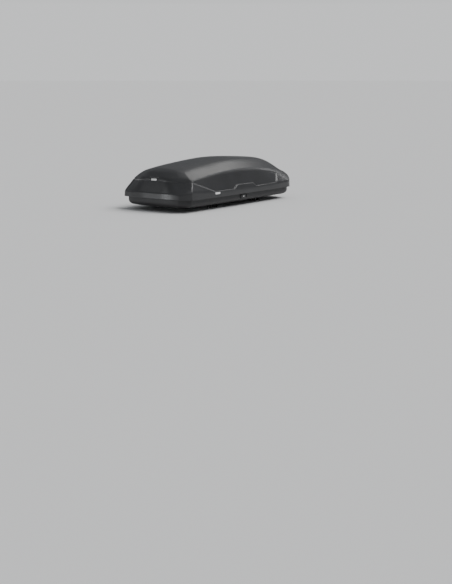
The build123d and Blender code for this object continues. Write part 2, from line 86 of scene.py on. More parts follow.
# Height; rear middle moved in, half width of the rear's flat middle, rear corners moved in, front
# moved in, sides moved in; radii of the rear and the front corners
LEVELS = np.array(
    (
        (-0.100, 0.000, REAR_FLAT_HALF, 0.000, 0.000, 0.000, 0.018, 0.090),
        (0.000, 0.000, REAR_FLAT_HALF, 0.000, 0.000, 0.000, 0.018, 0.090),
        (0.052, 0.004, REAR_FLAT_HALF, 0.005, 0.003, 0.002, 0.016, 0.086),
        (0.120, 0.017, 0.185, 0.080, 0.006, 0.003, 0.022, 0.075),
        (0.150, 0.023, 0.172, 0.112, 0.042, 0.003, 0.022, 0.085),
        (0.178, 0.029, 0.160, 0.144, 0.116, 0.003, 0.022, 0.100),
        (0.200, 0.035, 0.150, 0.164, 0.150, 0.003, 0.022, 0.110),
        (0.255, 0.080, 0.110, 0.215, 0.190, 0.003, 0.016, 0.125),
        (0.360, 0.250, 0.070, 0.380, 0.370, 0.003, 0.020, 0.150),
    )
)
LEVEL_EASE = 0.009                       # the levels' own edges are rounded over this height
EASE_SAMPLES = 9
# Place along the box, crown height, upper crease y and height, lower crease y and height
SECTIONS = np.array(
    (
        (-0.960, 0.264, 0.272, 0.205, 0.366, 0.152),
        (-0.740, 0.297, 0.262, 0.241, 0.358, 0.181),
        (-0.400, 0.328, 0.240, 0.283, 0.353, 0.221),
        (0.000, 0.346, 0.220, 0.317, 0.350, 0.236),
        (0.350, 0.331, 0.222, 0.306, 0.347, 0.220),
        (0.700, 0.302, 0.228, 0.262, 0.343, 0.163),
        (0.960, 0.264, 0.232, 0.205, 0.336, 0.112),
    )
)
BAND_TOP = (0.418, 0.052)                # y and height
REAR_BEND_ROUND = 0.030
CORNER_ROUND = 1.17                      # a right angle softened over this many radii looks round
# The lid's creases are softened over widths given as (places along the box, widths)
UPPER_CREASE = ((-0.8, 0.0, 0.4, 0.75), (0.006, 0.012, 0.030, 0.060))
LOWER_CREASE = ((-0.6, 0.2, 0.7), (0.007, 0.014, 0.018))
END_EDGE_ROUND = 0.009                   # between an end and the facets
ROOF_END_ROUND = (0.012, 0.022)          # more of it at the roof's middle, rear and front
ROOF_MIDDLE = (0.30, 0.10)               # half width of the roof's middle, and its fade inwards
ROOF_FROM = (0.20, 0.03)                 # height where the roof's ends start, and its fade upwards
WALL = 0.004
NORMAL_STEP = 0.0004                     # over which the slope of a distance is measured


def spline(xs, knots, values):
    """Natural cubic spline through the knots."""
    n = len(knots)
    h = np.diff(knots)
    matrix = np.eye(n)
    right = np.zeros(n)
    for i in range(1, n - 1):
        matrix[i, i - 1 : i + 2] = (h[i - 1], 2 * (h[i - 1] + h[i]), h[i])
        right[i] = 6 * ((values[i + 1] - values[i]) / h[i] - (values[i] - values[i - 1]) / h[i - 1])
    bend = np.linalg.solve(matrix, right)
    xs = np.clip(xs, knots[0], knots[-1])
    k = np.clip(np.searchsorted(knots, xs) - 1, 0, n - 2)
    a, b = xs - knots[k], knots[k + 1] - xs
    return (
        (bend[k] * b**3 + bend[k + 1] * a**3) / (6 * h[k])
        + (values[k] / h[k] - bend[k] * h[k] / 6) * b
        + (values[k + 1] / h[k] - bend[k + 1] * h[k] / 6) * a
    )


def smooth(t):
    """Smooth rise from 0 to 1."""
    t = np.clip(t, 0, 1)
    return t * t * (3 - 2 * t)


def soft_max(a, b, width):
    """Larger of two signed distances, with the edge between them softened over the width."""
    near = np.maximum(width - np.abs(a - b), 0) / width
    return np.maximum(a, b) + near * near * width / 4


def arc_distance(u, v, corner_u, corner_v, tip_u):
    """Signed distance beyond the arc through (corner_u, +-corner_v) and (tip_u, 0), bulging to +u."""
    sag = tip_u - corner_u
    radius = (corner_v**2 + sag**2) / (2 * sag)
    return np.hypot(u - (tip_u - radius), v) - radius


def swept_distance(u, v, corner_u, corner_v, tip_u, bend_v):
    """Signed distance beyond a flat middle at tip_u that sweeps back from bend_v to the corners."""
    back, out = tip_u - corner_u, corner_v - bend_v
    sweep = ((u - tip_u) * out + (v - bend_v) * back) / np.hypot(back, out)
    return soft_max(u - tip_u, sweep, REAR_BEND_ROUND)


def plan_distance(x, y, moved_in, corner_rs):
    """Signed distance outside a plan outline like the lid's, moved in by the given amounts."""
    rear_in, bend_v, corner_in, front_in, side_in = moved_in
    rear_r, front_r = corner_rs
    side_y = np.abs(y)
    rear_corner = (-REAR_CORNER[0] - corner_in, REAR_CORNER[1] - side_in)
    rear = swept_distance(-x, side_y, *rear_corner, HALF_LENGTH - rear_in, bend_v)
    front_corner = (FRONT_CORNER[0] - front_in, FRONT_CORNER[1] - side_in)
    front = arc_distance(x, y, *front_corner, HALF_LENGTH - front_in)
    share = (x - REAR_CORNER[0]) / (FRONT_CORNER[0] - REAR_CORNER[0])
    line = REAR_CORNER[1] + (FRONT_CORNER[1] - REAR_CORNER[1]) * share
    bow = (HALF_WIDTH - (REAR_CORNER[1] + FRONT_CORNER[1]) / 2) * (1 - (2 * share - 1) ** 4)
    side = side_y - (line + bow - side_in)
    ends = np.maximum(rear, front)
    return soft_max(ends, side, CORNER_ROUND * np.where(x < 0, rear_r, front_r))


LEVEL_Z = np.linspace(-0.06, 0.36, 421)  # heights at which the eased levels are worked out


def eased_level(i):
    """Column i of the levels, averaged over the ease's height, at each of the table's heights."""
    shifts = np.linspace(-1, 1, EASE_SAMPLES) * LEVEL_EASE
    return np.mean([np.interp(LEVEL_Z + shift, LEVELS[:, 0], LEVELS[:, i]) for shift in shifts], axis=0)


LEVEL_TABLE = [eased_level(i) for i in range(1, 8)]


def section_distance(x, y, z):
    """Signed distance outside the lid's cross-section at that x."""
    crown, y1, z1, y2, z2 = (spline(x, SECTIONS[:, 0], SECTIONS[:, i]) for i in range(1, 6))
    side_y = np.abs(y)

    def beyond(ya, za, yb, zb):
        length = np.hypot(yb - ya, za - zb)
        return ((side_y - ya) * (za - zb) + (z - za) * (yb - ya)) / length

    side = beyond(y2, z2, BAND_TOP[0], BAND_TOP[1])
    shoulder = beyond(y1, z1, y2, z2)
    sag = crown - z1
    radius = (y1**2 + sag**2) / (2 * sag)
    roof = np.hypot(side_y, z - (crown - radius)) - radius
    upper_round = np.interp(x, *UPPER_CREASE)
    lower_round = np.interp(x, *LOWER_CREASE)
    return soft_max(soft_max(roof, shoulder, upper_round), side, lower_round)


def lid_distance(p):
    """Signed distance outside the lid for points in rows."""
    x, y, z = p[..., 0], p[..., 1], p[..., 2]
    levels = [np.interp(z, LEVEL_Z, column) for column in LEVEL_TABLE]
    plan = plan_distance(x, y, levels[:5], levels[5:])
    middle = smooth((ROOF_MIDDLE[0] - np.abs(y)) / ROOF_MIDDLE[1])
    middle = middle * smooth((z - ROOF_FROM[0]) / ROOF_FROM[1])
    edge_round = END_EDGE_ROUND + np.where(x < 0, *ROOF_END_ROUND) * middle
    return soft_max(plan, section_distance(x, y, z), edge_round)


def lid_normals(p):
    """Unit normals of the lid at points on it."""
    parts = []
    for axis in range(3):
        shift = np.zeros(3)
        shift[axis] = NORMAL_STEP
        parts.append(lid_distance(p + shift) - lid_distance(p - shift))
    n = np.stack(parts, axis=-1)
    return n / np.linalg.norm(n, axis=-1, keepdims=True)


# ---- Recessed panels ----
SIDE_FACE_Y = 0.30                       # the side panels lie further out than this
POCKET_Y = 0.35                          # and the side badges' pockets further out than this
REAR_FACE_X = -0.70                      # the rear panel lies further back than this
# Edges as (point, point, width of the slope), with the panel to the left
SIDE_EDGES = (
    ((-0.835, 0.166), (-0.515, 0.056), 0.020),
    ((-0.515, 0.056), (0.200, 0.056), 0.004),
    ((0.200, 0.056), (0.570, 0.064), 0.006),
    ((0.570, 0.064), (0.612, 0.096), 0.010),
    ((0.612, 0.096), (0.662, 0.160), 0.022),
    ((0.662, 0.160), (0.350, 0.207), 0.005),
    ((0.350, 0.207), (0.000, 0.225), 0.004),
    ((0.000, 0.225), (-0.337, 0.215), 0.004),
    ((-0.337, 0.215), (-0.835, 0.166), 0.004),
)
# The lower border steps up between its second and third third
SIDE_STEP = (
    ((-0.190, 0.050), (-0.118, 0.092), 0.006),
    ((-0.118, 0.092), (0.150, 0.092), 0.006),
    ((0.150, 0.092), (0.205, 0.050), 0.010),
)
SIDE_DEPTH = (0.011, 0.004)              # at the lower border and near the shoulder
SIDE_RANGE = (0.057, 0.207)              # heights of those two depths
# Badges: place along the panel, height, half length, half height
SIDE_BADGE = (-0.460, 0.039, 0.037, 0.009)
REAR_BADGE = (0.0, 0.182, 0.031, 0.009)
BADGE_MARGIN = 0.004
POCKET_DEPTH = 0.002
POCKET_SLOPE = 0.002
REAR_SIDE_EDGE = ((0.386, 0.058), (0.340, 0.158), 0.008)
REAR_TOP = (0.190, 0.088)                # height of the upper border in the middle, and its fall per metre
REAR_TAB = (0.050, 0.012, 0.206)         # half width, slope and top of the tab around the badge
REAR_LOWER = (0.056, 0.004)              # height of the lower border, and its slope
REAR_UPPER_SLOPE = 0.006
REAR_DEPTH = (0.002, 0.006)              # at the lower and the upper border
REAR_RANGE = (0.058, 0.168)              # heights of those two depths


def ramp_share(value, limits):
    """Share of the way from the lower to the upper limit."""
    return np.clip((value - limits[0]) / (limits[1] - limits[0]), 0, 1)


def inside(u, v, edge):
    """How far a point lies to the left of an edge."""
    (u0, v0), (u1, v1), _ = edge
    length = math.hypot(u1 - u0, v1 - v0)
    return ((u1 - u0) * (v - v0) - (v1 - v0) * (u - u0)) / length


def side_recess(p):
    """Depth of the side panel's recess at points on the lid."""
    x, z = p[..., 0], p[..., 2]
    mask = np.ones(x.shape)
    for edge in SIDE_EDGES:
        mask = np.minimum(mask, smooth(inside(x, z, edge) / edge[2]))
    step = np.zeros(x.shape)
    for edge in SIDE_STEP:
        step = np.maximum(step, smooth(inside(x, z, edge) / edge[2]))
    mask = np.minimum(mask, step) * (np.abs(p[..., 1]) > SIDE_FACE_Y)
    return mask * (SIDE_DEPTH[0] + (SIDE_DEPTH[1] - SIDE_DEPTH[0]) * ramp_share(z, SIDE_RANGE))


def rear_recess(p):
    """Depth of the rear panel's recess at points on the lid."""
    y, z = np.abs(p[..., 1]), p[..., 2]
    mask = smooth((z - REAR_LOWER[0]) / REAR_LOWER[1])
    mask = np.minimum(mask, smooth(inside(y, z, REAR_SIDE_EDGE) / REAR_SIDE_EDGE[2]))
    border = REAR_TOP[0] - REAR_TOP[1] * y
    half, slope, tab_top = REAR_TAB
    top = border + (tab_top - border) * smooth((half + slope - y) / slope)
    mask = np.minimum(mask, smooth((top - z) / REAR_UPPER_SLOPE)) * (p[..., 0] < REAR_FACE_X)
    return mask * (REAR_DEPTH[0] + (REAR_DEPTH[1] - REAR_DEPTH[0]) * ramp_share(z, REAR_RANGE))


def badge_recess(p):
    """Depth of the pocket around each side badge."""
    middle_x, middle_z, half_x, half_z = SIDE_BADGE
    beyond = np.maximum(np.abs(p[..., 0] - middle_x) - half_x, np.abs(p[..., 2] - middle_z) - half_z)
    return POCKET_DEPTH * smooth((BADGE_MARGIN - beyond) / POCKET_SLOPE) * (np.abs(p[..., 1]) > POCKET_Y)


def lid_depth(p):
    """How deep the lid's skin lies under its plain shape."""
    return np.maximum(side_recess(p), rear_recess(p)) + badge_recess(p)


# ---- Skins: rays from a spine along the middle meet a shape ----
SPINE = 0.60                             # half length
REACH = 0.75                             # of a ray
HALVINGS = 30                            # of the reach, to find where a ray leaves the shape
RAYS = 420                               # across each column before its points are spaced
TURN_SAMPLES = 9                         # steps over which a column's turning is averaged
CORNER_SIZE = (0.09, 0.08)               # of the plan's corners, where the columns turn


def cast(origin, direction, distance):
    """Points where rays from inside leave the shape given by its signed distance."""
    low = np.zeros(direction.shape[:-1])
    high = np.full(direction.shape[:-1], REACH)
    for _ in range(HALVINGS):
        middle = (low + high) / 2
        out = distance(origin + direction * middle[..., None]) > 0
        high = np.where(out, middle, high)
        low = np.where(out, low, middle)
    return origin + direction * low[..., None]


def skin_points(targets, rows, height, sweep, distance, spacing, crease_rows):
    """Grid on a shape: one row of points per target, from the given height to the spine's line."""
    anchor = np.clip(targets[:, 0], -SPINE, SPINE)
    away = np.stack([targets[:, 0] - anchor, targets[:, 1]], axis=-1)
    away /= np.linalg.norm(away, axis=-1, keepdims=True)
    angles = np.linspace(0, sweep, RAYS)
    direction = np.empty((len(targets), len(angles), 3))
    direction[..., 0] = away[:, None, 0] * np.cos(angles)
    direction[..., 1] = away[:, None, 1] * np.cos(angles)
    direction[..., 2] = np.sin(angles)
    origin = np.zeros((len(targets), 1, 3))
    origin[:, 0, 0] = anchor
    origin[:, 0, 2] = height
    profile = cast(origin, direction, distance)
    step = np.linalg.norm(np.diff(profile, axis=1), axis=-1)
    chord = np.diff(profile, axis=1) / np.maximum(step, 1e-9)[..., None]
    turn = np.zeros(step.shape)
    turn[:, 1:] = np.arccos(np.clip((chord[:, 1:] * chord[:, :-1]).sum(-1), -1, 1))
    kernel = np.ones(TURN_SAMPLES) / TURN_SAMPLES
    turn = np.apply_along_axis(lambda row: np.convolve(row, kernel, "same"), 1, turn)
    middles = (profile[:, 1:] + profile[:, :-1]) / 2
    weight = step / spacing(middles) + turn * crease_rows
    total = np.concatenate([np.zeros((len(targets), 1)), np.cumsum(weight, axis=1)], axis=1)
    total /= total[:, -1:]
    order = np.arange(len(angles))
    grid = np.empty((len(targets), rows, 3))
    for i in range(len(targets)):
        where = np.interp(np.linspace(0, 1, rows), total[i], order)
        k = np.clip(where.astype(int), 0, len(angles) - 2)
        share = (where - k)[:, None]
        grid[i] = profile[i, k] * (1 - share) + profile[i, k + 1] * share
    return grid


def perimeter(side_count, end_count, corner_count):
    """Targets around the plan: right side forwards, front, left side back, rear.

    Each count is a multiple of the inner skin's stride, so that the skins close along the spine.
    """
    edge_x, edge_y = HALF_LENGTH - CORNER_SIZE[0], HALF_WIDTH - CORNER_SIZE[1]
    side = np.linspace(-edge_x, edge_x, side_count, endpoint=False)
    turn = np.linspace(0, math.pi / 2, corner_count, endpoint=False)
    front_y = np.linspace(-edge_y, edge_y, end_count, endpoint=False)
    right = np.stack([side, np.full(len(side), -HALF_WIDTH)], axis=-1)
    corner_x = edge_x + CORNER_SIZE[0] * np.sin(turn)
    corner_y = -edge_y - CORNER_SIZE[1] * np.cos(turn)
    front = np.stack([np.full(len(front_y), HALF_LENGTH), front_y], axis=-1)
    half_ring = np.concatenate([right, np.stack([corner_x, corner_y], axis=-1), front])
    return np.concatenate([half_ring, -half_ring])


WELD = 0.00002                           # points nearer than this are one


def add_mesh(name, vertices, faces, material):
    """New smooth-shaded object of that mesh in the scene."""
    mesh = bpy.data.meshes.new(name)
    mesh.from_pydata([tuple(v) for v in vertices], [], faces)
    mesh.validate()
    mesh.polygons.foreach_set("use_smooth", [True] * len(mesh.polygons))
    obj = bpy.data.objects.new(name, mesh)
    obj.data.materials.append(material)
    bpy.context.scene.collection.objects.link(obj)
    return obj


def skin_faces(columns, rows, start, flip):
    """Quads of a closed ring of columns."""
    faces = []
    for i in range(columns):
        j = (i + 1) % columns
        for k in range(rows - 1):
            near, far = start + i * rows + k, start + j * rows + k
            quad = [near, far, far + 1, near + 1]
            faces.append(quad[::-1] if flip else quad)
    return faces


def make_shell(name, outer, inner, stride, material):
    """Closed shell of an outer skin, a coarser inner skin, and the lip between their first rows."""
    columns, rows = outer.shape[:2]
    inner_columns, inner_rows = inner.shape[:2]
    start = columns * rows
    vertices = np.concatenate([outer.reshape(-1, 3), inner.reshape(-1, 3)])
    faces = skin_faces(columns, rows, 0, False)
    faces += skin_faces(inner_columns, inner_rows, start, True)
    for i in range(inner_columns):
        near = start + i * inner_rows
        far = start + ((i + 1) % inner_columns) * inner_rows
        first = i * stride
        last = columns if i == inner_columns - 1 else first + stride
        for k in range(first, last):
            faces.append([near, ((k + 1) % columns) * rows, k * rows])
        faces.append([near, far, (last % columns) * rows])
    shell = add_mesh(name, vertices, faces, material)
    bm = bmesh.new()
    bm.from_mesh(shell.data)
    bmesh.ops.remove_doubles(bm, verts=bm.verts, dist=WELD)
    bmesh.ops.dissolve_degenerate(bm, edges=bm.edges, dist=WELD / 2)
    bmesh.ops.recalc_face_normals(bm, faces=bm.faces)
    bm.to_mesh(shell.data)
    bm.free()
    return shell


# Columns along a side, an end and a corner; rows of the outer and inner skins; and how many of
# the outer skin's columns one of the inner skin's spans
LID_COLUMNS = (296, 96, 20)
LID_ROWS = (108, 44)
LID_STRIDE = 4
TRAY_COLUMNS = (144, 56, 16)
TRAY_ROWS = (110, 100)
TRAY_STRIDE = 2
LID_CREASE_ROWS = 7.0                    # extra rows where the skin turns, for each radian
TRAY_CREASE_ROWS = 6.0
# Distance wanted between rows, and where the lid's rows are closer
PANEL_SPACING = 0.0042
BAND_SPACING = 0.007
ROOF_SPACING = 0.012
TRAY_SPACING = 0.007
PANEL_HEIGHTS = (0.045, 0.240)
PANEL_Y = 0.335                          # on the sides, further out than this
BAND_HEIGHT = 0.060


def even_spacing(step):
    """Spacing that is the same everywhere."""
    return lambda p: np.full(p.shape[:-1], step)


def lid_spacing(p):
    """Distance wanted between rows of the lid's outer skin."""
    x, y, z = p[..., 0], np.abs(p[..., 1]), p[..., 2]
    in_panels = (z > PANEL_HEIGHTS[0]) & (z < PANEL_HEIGHTS[1]) & ((y > PANEL_Y) | (x < REAR_FACE_X))
    return np.where(in_panels, PANEL_SPACING, np.where(z < BAND_HEIGHT, BAND_SPACING, ROOF_SPACING))


def lid_skin(ring, rows, inset, spacing):
    """Grid of points on the lid with its recesses, moved in by the inset."""

    def shape(p):
        return lid_distance(p) + inset

    grid = skin_points(ring, rows, 0.0, math.pi / 2, shape, spacing, LID_CREASE_ROWS)
    flat = grid.reshape(-1, 3)
    grid = (flat - lid_normals(flat) * lid_depth(flat)[:, None]).reshape(grid.shape)
    grid[..., 2] += EDGE_Z
    return grid


def make_lid(material):
    """Lid shell with its recessed panels."""
    ring = perimeter(*LID_COLUMNS)
    outer = lid_skin(ring, LID_ROWS[0], 0.0, lid_spacing)
    inner = lid_skin(ring[::LID_STRIDE], LID_ROWS[1], WALL, even_spacing(ROOF_SPACING))
    return make_shell("lid", outer, inner, LID_STRIDE, material)


# ---- Tray ----
END_INSET = 0.014                        # how far in from the lid's lower edge
SIDE_INSET = 0.030
TRAY_RADII = (0.046, 0.080)              # of the rear and the front corners in plan
LOWER_R = 0.042                          # of the edge between the floor and the walls
FLUTES = ((0.0, 0.56), (0.085, 0.66), (0.165, 0.66), (0.315, 0.66))  # y, reach fore and aft
FLUTE_HALF = 0.017                       # half width
FLUTE_SLOPE = 0.006
FLUTE_RISE = 0.003
FLUTE_BELOW = 0.012                      # only the floor rises, not the walls above this
SLOT_X = (-0.310, 0.440)                 # rear and front clamps
SLOT_Y = 0.235
SLOT_HALF = (0.0584, 0.0064)             # half length and half width
SLOT_DEPTHS = (0.010, 0.020)             # below and above the floor's underside
LOCK_X = -0.006
LOCK_Z = EDGE_Z - 0.030
LOCK_Y = (0.376, 0.401)
LOCK_HALF = 0.0104                       # of the key's opening
LATCH_TRAVEL = 0.016                     # the opening is longer forwards by the slider's travel


def tray_distance(p, inset):
    """Signed distance outside the tray, for heights above the ground."""
    end_in = END_INSET + inset
    moved_in = (end_in, REAR_FLAT_HALF, end_in, end_in, SIDE_INSET + inset)
    radii = [radius - inset for radius in TRAY_RADII]
    wall = plan_distance(p[..., 0], p[..., 1], moved_in, radii)
    below = FLOOR_Z + inset - p[..., 2]
    radius = LOWER_R - inset
    corner = np.hypot(np.maximum(wall + radius, 0), np.maximum(below + radius, 0))
    return corner + np.minimum(np.maximum(wall, below) + radius, 0) - radius


def flute_rise(p):
    """How far the floor is pressed up into stiffening flutes."""
    rise = np.zeros(p.shape[:-1])
    for y, reach in FLUTES:
        beyond = np.hypot(np.maximum(np.abs(p[..., 0]) - reach, 0), np.abs(p[..., 1]) - y) - FLUTE_HALF
        rise = np.maximum(rise, smooth(-beyond / FLUTE_SLOPE))
    return FLUTE_RISE * rise * (p[..., 2] < FLOOR_Z + FLUTE_BELOW)


def tray_skin(ring, rows, inset, spacing):
    """Grid of points on the tray with its flutes, moved in by the inset."""

    def shape(p):
        return tray_distance(p, inset)

    grid = skin_points(ring, rows, RIM_Z, -math.pi / 2, shape, spacing, TRAY_CREASE_ROWS)
    grid[..., 2] += flute_rise(grid)
    return grid


def box_mesh(boxes):
    """Vertices and faces of boxes, each given by its lowest and highest corners."""
    vertices, faces = [], []
    for low, high in boxes:
        start = len(vertices)
        vertices += itertools.product(*zip(low, high))
        for quad in ((0, 1, 3, 2), (4, 6, 7, 5), (0, 4, 5, 1), (2, 3, 7, 6), (0, 2, 6, 4), (1, 5, 7, 3)):
            faces.append([start + k for k in quad])
    return vertices, faces


def make_tray(material):
    """Tray shell with its floor slots for the clamps and its wall windows for the latches."""
    ring = perimeter(*TRAY_COLUMNS)
    outer = tray_skin(ring, TRAY_ROWS[0], 0.0, even_spacing(TRAY_SPACING))
    inner = tray_skin(ring[::TRAY_STRIDE], TRAY_ROWS[1], WALL, even_spacing(TRAY_SPACING))
    tray = make_shell("tray", outer, inner, TRAY_STRIDE, material)
    cuts = []
    for side in (-1, 1):
        for x in SLOT_X:
            y = side * SLOT_Y
            low = (x - SLOT_HALF[0], y - SLOT_HALF[1], FLOOR_Z - SLOT_DEPTHS[0])
            cuts.append((low, (x + SLOT_HALF[0], y + SLOT_HALF[1], FLOOR_Z + SLOT_DEPTHS[1])))
        near_y, far_y = sorted((side * LOCK_Y[0], side * LOCK_Y[1]))
        low = (LOCK_X - LOCK_HALF, near_y, LOCK_Z - LOCK_HALF)
        cuts.append((low, (LOCK_X + LOCK_HALF + LATCH_TRAVEL, far_y, LOCK_Z + LOCK_HALF)))
    cutter = add_mesh("cutter", *box_mesh(cuts), material)
    carve = tray.modifiers.new("openings", "BOOLEAN")
    carve.operation = "DIFFERENCE"
    carve.object = cutter
    carve.solver = "EXACT"
    carved = bpy.data.meshes.new_from_object(tray.evaluated_get(bpy.context.evaluated_depsgraph_get()))
    tray.modifiers.clear()
    tray.data = carved
    bpy.data.objects.remove(cutter)
    return tray


# ---- Badges ----
BADGE_RADIUS = 0.004
BADGE_MIN_RADIUS = 0.0008                # of the plate's inner rings
BADGE_CORNER_POINTS = 7
REAR_BADGE_BASE = 0.0042                 # how far the rear plate reaches under the lid's plain shape
# How far in from the outline, and height above the lid's plain shape, from the rim to the face
BADGE_EDGE = (
    (0.0000, -0.0007),
    (0.0003, -0.0001),
    (0.0010, 0.0003),
    (0.0020, 0.0004),
    (0.0050, 0.0004),
)


def rounded_ring(half_u, half_v, radius):
    """Points around a rectangle with rounded corners, anticlockwise."""
    points = []
    for quarter, (su, sv) in enumerate(((1, 1), (-1, 1), (-1, -1), (1, -1))):
        for t in np.linspace(0, math.pi / 2, BADGE_CORNER_POINTS):
            angle = quarter * math.pi / 2 + t
            u = su * (half_u - radius) + radius * math.cos(angle)
            v = sv * (half_v - radius) + radius * math.sin(angle)
            points.append((u, v))
    return points


def make_badge(name, place, half_u, half_v, base, material):
    """Blank plate with a rolled edge, laid on the lid: place gives points and normals at u, v."""
    profile = ((0.0, -base), *BADGE_EDGE)
    vertices, faces = [], []
    count = 4 * BADGE_CORNER_POINTS
    for inset, height in profile:
        radius = max(BADGE_RADIUS - inset, BADGE_MIN_RADIUS)
        ring = rounded_ring(half_u - inset, half_v - inset, radius)
        points, normals = place(np.array(ring))
        vertices += list(points + normals * height)
    for level in range(len(profile) - 1):
        for k in range(count):
            near, far = level * count + k, level * count + (k + 1) % count
            faces.append([near, far, far + count, near + count])
    last = (len(profile) - 1) * count
    faces.append([last + k for k in range(count)])
    faces.append(list(reversed(range(count))))
    badge = add_mesh(name, vertices, faces, material)
    bm = bmesh.new()
    bm.from_mesh(badge.data)
    bmesh.ops.recalc_face_normals(bm, faces=bm.faces)
    bm.to_mesh(badge.data)
    bm.free()
    return badge


def on_lid(origin, direction):
    """Points and normals of the lid met by rays, in the scene's heights."""
    points = cast(origin, direction, lid_distance)
    normals = lid_normals(points)
    points[..., 2] += EDGE_Z
    return points, normals


def side_place(side):
    """Places of a side badge's plan on the lid's side."""

    def place(ring):
        x, z = SIDE_BADGE[0] + ring[:, 0], SIDE_BADGE[1] + ring[:, 1]
        origin = np.stack([x, np.zeros(len(x)), z], axis=-1)
        return on_lid(origin, np.tile((0.0, float(side), 0.0), (len(x), 1)))

    return place


def rear_place(ring):
    """Places of the rear badge's plan on the lid's rear."""
    y, z = REAR_BADGE[0] + ring[:, 0], REAR_BADGE[1] + ring[:, 1]
    origin = np.stack([np.full(len(y), -SPINE), y, z], axis=-1)
    return on_lid(origin, np.tile((-1.0, 0.0, 0.0), (len(y), 1)))


# ---- Materials ----
NOISE_MIDDLE = (0.32, 0.68)              # the range where most of a noise's values lie


class Surface:
    """A material's node tree, with short ways to build it."""

    def __init__(self, name):
        self.material = bpy.data.materials.new(name.replace("_", " "))
        self.material.use_nodes = True
        self.tree = self.material.node_tree
        self.shader = self.tree.nodes["Principled BSDF"]
        self.coords = self.tree.nodes.new("ShaderNodeTexCoord").outputs["Object"]

    def link(self, source, target):
        """Joins two sockets."""
        self.tree.links.new(source, target)

    def stretched(self, factors):
        """Object coordinates scaled by axis, for brushed or ribbed patterns."""
        node = self.tree.nodes.new("ShaderNodeMapping")
        node.inputs["Scale"].default_value = factors
        self.link(self.coords, node.inputs["Vector"])
        return node.outputs["Vector"]

    def noise(self, scale, detail, coords=None):
        """Cloudy pattern, from 0 to 1."""
        node = self.tree.nodes.new("ShaderNodeTexNoise")
        node.inputs["Scale"].default_value = scale
        node.inputs["Detail"].default_value = detail
        self.link(coords or self.coords, node.inputs["Vector"])
        return node.outputs["Fac"]

    def cells(self, scale):
        """Rounded cells like those of a leather grain."""
        node = self.tree.nodes.new("ShaderNodeTexVoronoi")
        node.feature = "SMOOTH_F1"
        node.inputs["Scale"].default_value = scale
        self.link(self.coords, node.inputs["Vector"])
        return node.outputs["Distance"]

    def spread(self, value, low, high):
        """Value's middle range mapped to low..high."""
        node = self.tree.nodes.new("ShaderNodeMapRange")
        node.inputs["From Min"].default_value = NOISE_MIDDLE[0]
        node.inputs["From Max"].default_value = NOISE_MIDDLE[1]
        node.inputs["To Min"].default_value = low
        node.inputs["To Max"].default_value = high
        self.link(value, node.inputs["Value"])
        return node.outputs["Result"]

    def blend(self, share, first, second):
        """Colour between two colours, each a tuple or a socket."""
        node = self.tree.nodes.new("ShaderNodeMix")
        node.data_type = "RGBA"
        self.link(share, node.inputs["Factor"])
        # Inputs 6 and 7 and output 2 are the node's sockets for colours
        for socket, colour in ((node.inputs[6], first), (node.inputs[7], second)):
            if isinstance(colour, tuple):
                socket.default_value = (*colour, 1)
            else:
                self.link(colour, socket)
        return node.outputs[2]

    def bump(self, height, depth, strength, below=None):
        """Normal of a relief of that height, on top of the one below."""
        node = self.tree.nodes.new("ShaderNodeBump")
        node.inputs["Strength"].default_value = strength
        node.inputs["Distance"].default_value = depth
        self.link(height, node.inputs["Height"])
        if below:
            self.link(below, node.inputs["Normal"])
        return node.outputs["Normal"]


def grained_plastic(name, dark, light, roughness, grain_scale, grain_depth):
    """Moulded plastic: leather-like grain, faint mottling, dust and slight scuffs in the gloss."""
    s = Surface(name)
    mottled = s.blend(s.spread(s.noise(7.0, 6.0), 0, 1), dark, light)
    dust = s.blend(s.spread(s.noise(160.0, 4.0), 0, 0.05), mottled, (0.20, 0.19, 0.18))
    s.link(dust, s.shader.inputs["Base Color"])
    s.link(s.spread(s.noise(38.0, 8.0), roughness - 0.02, roughness + 0.03), s.shader.inputs["Roughness"])
    flow = s.bump(s.noise(5.0, 2.0), 0.002, 0.02)
    s.link(s.bump(s.cells(grain_scale), grain_depth, 0.2, flow), s.shader.inputs["Normal"])
    return s


def metal(name, dark, light, roughness, stretch, grain_depth):
    """Bare metal brushed, drawn or tumbled: streaks in its colour, gloss and relief."""
    s = Surface(name)
    streaks = s.noise(60.0, 5.0, s.stretched(stretch))
    s.link(s.blend(s.spread(streaks, 0, 1), dark, light), s.shader.inputs["Base Color"])
    s.link(s.spread(s.noise(25.0, 6.0), roughness - 0.07, roughness + 0.10), s.shader.inputs["Roughness"])
    s.link(s.bump(streaks, grain_depth, 0.4), s.shader.inputs["Normal"])
    s.shader.inputs["Metallic"].default_value = 1.0
    return s


def coated_steel(name):
    """Black powder coat: orange peel, with a faint speckle."""
    s = Surface(name)
    speckle = s.blend(s.spread(s.noise(900.0, 2.0), 0, 1), (0.016, 0.016, 0.017), (0.034, 0.034, 0.036))
    s.link(speckle, s.shader.inputs["Base Color"])
    s.link(s.spread(s.noise(30.0, 5.0), 0.38, 0.52), s.shader.inputs["Roughness"])
    s.link(s.bump(s.noise(420.0, 2.0), 0.0005, 0.5), s.shader.inputs["Normal"])
    return s


def plate_paint(name):
    """Pale satin plate: faint brushing along it and a little grime."""
    s = Surface(name)
    brushed = s.noise(90.0, 4.0, s.stretched((0.15, 0.15, 1.0)))
    clean = s.blend(s.spread(brushed, 0, 1), (0.86, 0.86, 0.85), (0.93, 0.93, 0.92))
    grimy = s.blend(s.spread(s.noise(55.0, 6.0), 0, 0.10), clean, (0.45, 0.44, 0.42))
    s.link(grimy, s.shader.inputs["Base Color"])
    s.link(s.spread(s.noise(70.0, 5.0), 0.28, 0.40), s.shader.inputs["Roughness"])
    s.link(s.bump(s.noise(600.0, 3.0), 0.0001, 0.4), s.shader.inputs["Normal"])
    return s


